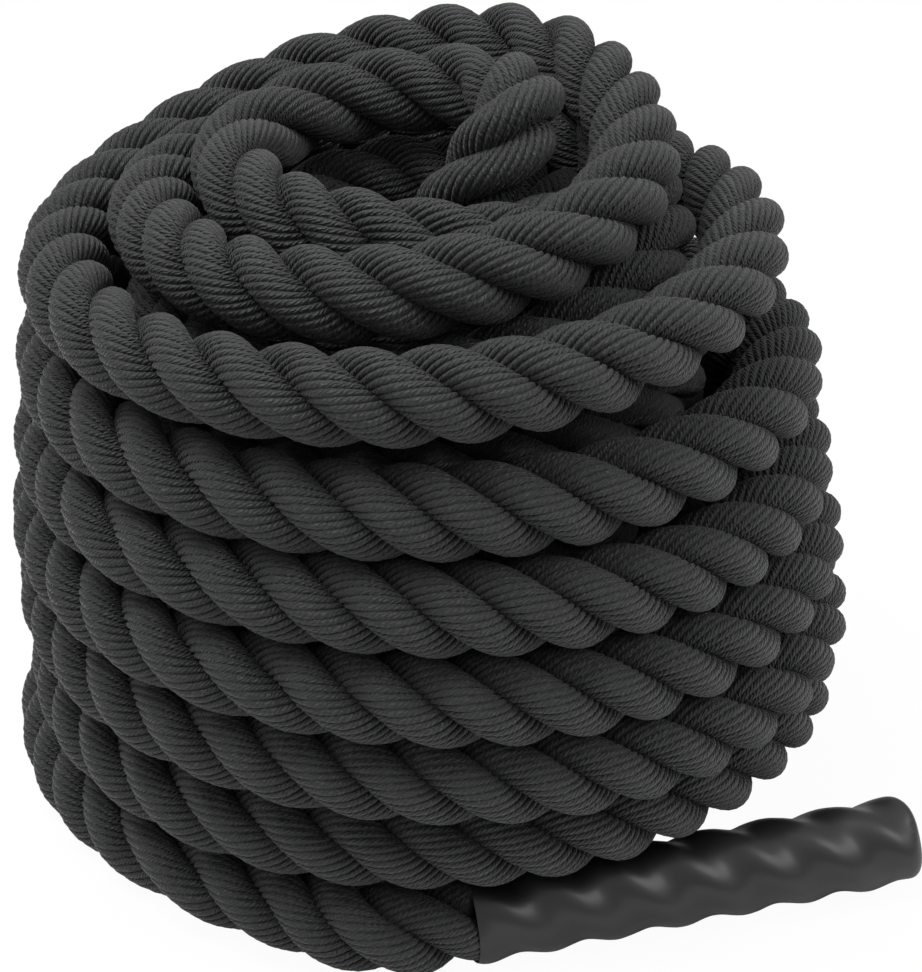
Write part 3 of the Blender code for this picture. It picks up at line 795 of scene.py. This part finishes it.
# %% Inner strands and binding tape
THREAD_WAVES = 90.0
WEAVE_WAVES = 220.0
INNER_DARK, INNER_LIGHT = (0.0030, 0.0030, 0.0032), (0.0250, 0.0255, 0.0265)
TAPE_DARK, TAPE_LIGHT = (0.012, 0.012, 0.013), (0.045, 0.045, 0.048)
inner_fibre, tree, shader = new_material("inner_strand")
place = node(tree, "ShaderNodeTexCoord")
threads = texture(tree, place, "ShaderNodeTexWave", Scale=THREAD_WAVES, Distortion=2.0, Detail=2.0)
fuzz = texture(tree, place, "ShaderNodeTexNoise", Scale=FUZZ_SCALE, Detail=3.0)
shade = maths(tree, "MULTIPLY_ADD", fuzz, 0.5, maths(tree, "MULTIPLY", threads, 0.5))
colour_by(tree, shader, shade, INNER_DARK, INNER_LIGHT)
shader.inputs["Roughness"].default_value = 0.7
bump_by(tree, shader, shade, 0.6, 0.0005)

tape, tree, shader = new_material("binding_tape")
place = node(tree, "ShaderNodeTexCoord")
warp = texture(tree, place, "ShaderNodeTexWave", Scale=WEAVE_WAVES, bands_direction="Z")
weft = texture(tree, place, "ShaderNodeTexWave", Scale=WEAVE_WAVES, bands_direction="DIAGONAL")
cloth = maths(tree, "MULTIPLY", maths(tree, "ADD", warp, weft), 0.5)
colour_by(tree, shader, cloth, TAPE_DARK, TAPE_LIGHT)
shader.inputs["Roughness"].default_value = 0.6
bump_by(tree, shader, cloth, 0.5, 0.0003)

for name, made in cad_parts.items():
    if "strand" in name or "binding" in name:
        for slot in made.material_slots:
            slot.material = tape if "binding" in name else inner_fibre
        print(name, [slot.material.name for slot in made.material_slots])

# %% [markdown]
# ## The floor
#
# In the photograph the rope lies on pure white with hardly a shadow. The background could be cut out afterwards, but
# the light that a floor throws back up into the rope would be missing. So there is a white floor, and for the camera
# alone it glows. Right under the pile it doesn't, or bright spots would show through the gaps between the turns.

# %% Floor
FLOOR_SIZE, FLOOR_DROP = 12, 0.0002
GLOW, GLOW_SHARE = 1.01, 0.95
# The glow begins between these two distances from the pile's middle.
PILE_MIDDLE = (-0.035, -0.018, 0)
DARK_REACH, GLOW_REACH = 0.110, 0.135
bpy.ops.object.select_all(action="DESELECT")
bpy.ops.mesh.primitive_plane_add(size=FLOOR_SIZE, location=(0, 0, -FLOOR_DROP))
floor = bpy.context.active_object
floor.name = "floor"
white, tree, shader = new_material("floor_white")
shader.inputs["Base Color"].default_value = (0.80, 0.80, 0.80, 1)
shader.inputs["Roughness"].default_value = 0.9
glow = node(tree, "ShaderNodeEmission", Color=(1, 1, 1, 1), Strength=GLOW)
rays = node(tree, "ShaderNodeLightPath")
mix = node(tree, "ShaderNodeMixShader")
place = node(tree, "ShaderNodeTexCoord")
from_pile = node(tree, "ShaderNodeVectorMath", operation="DISTANCE")
tree.links.new(place.outputs["Object"], from_pile.inputs[0])
from_pile.inputs[1].default_value = PILE_MIDDLE
open_floor = between(tree, from_pile.outputs["Value"], DARK_REACH, GLOW_REACH)
seen = maths(tree, "MULTIPLY", rays.outputs["Is Camera Ray"], open_floor)
tree.links.new(maths(tree, "MULTIPLY", seen, GLOW_SHARE), mix.inputs[0])
tree.links.new(shader.outputs[0], mix.inputs[1])
tree.links.new(glow.outputs[0], mix.inputs[2])
output = next(item for item in tree.nodes if item.type == "OUTPUT_MATERIAL")
tree.links.new(mix.outputs[0], output.inputs["Surface"])
floor.data.materials.append(white)
print("the floor glows for the camera from", GLOW_REACH, "m outward")

# %% [markdown]
# ## The light
#
# The photograph is lit softly from above, so every turn is bright on top and dark below. One strong lamp could do
# that, but its shadows would be hard. Here a sky that is brighter above than below gives most of the light. A large
# lamp at the upper left makes the threads glint, and a weaker one at the right brings out the grip.

# %% Light
SKY_BELOW, SKY_ABOVE = 0.24, 0.74
LAMP_SIZE = 1.0
LAMP_TARGET = (0, 0, 0.15)
world = bpy.data.worlds.new("studio")
world.use_nodes = True
bpy.context.scene.world = world
tree = world.node_tree
sky = tree.nodes["Background"]
sky.inputs["Color"].default_value = (1, 1, 1, 1)
direction = node(tree, "ShaderNodeTexCoord")
split = node(tree, "ShaderNodeSeparateXYZ")
tree.links.new(direction.outputs["Generated"], split.inputs[0])
from_above = node(tree, "ShaderNodeMapRange", **{"To Min": SKY_BELOW, "To Max": SKY_ABOVE})
tree.links.new(split.outputs[2], from_above.inputs["Value"])
rays = node(tree, "ShaderNodeLightPath")
tree.links.new(maths(tree, "MAXIMUM", rays.outputs["Is Camera Ray"], from_above.outputs[0]), sky.inputs["Strength"])


def soft_lamp(name, place, power):
    """A square soft box that points at the pile."""
    data = bpy.data.lights.new(name, "AREA")
    data.shape = "SQUARE"
    data.size = LAMP_SIZE
    data.energy = power
    lamp = bpy.data.objects.new(name, data)
    bpy.context.scene.collection.objects.link(lamp)
    lamp.location = place
    lamp.rotation_euler = (Vector(place) - Vector(LAMP_TARGET)).to_track_quat("Z", "Y").to_euler()
    print(name, "at", place, "with", power, "W")


soft_lamp("key_lamp", (-0.75, -0.15, 2.05), 30)
soft_lamp("fill_lamp", (1.5, -0.4, 1.5), 11)
bpy.context.scene.view_settings.view_transform = "Standard"
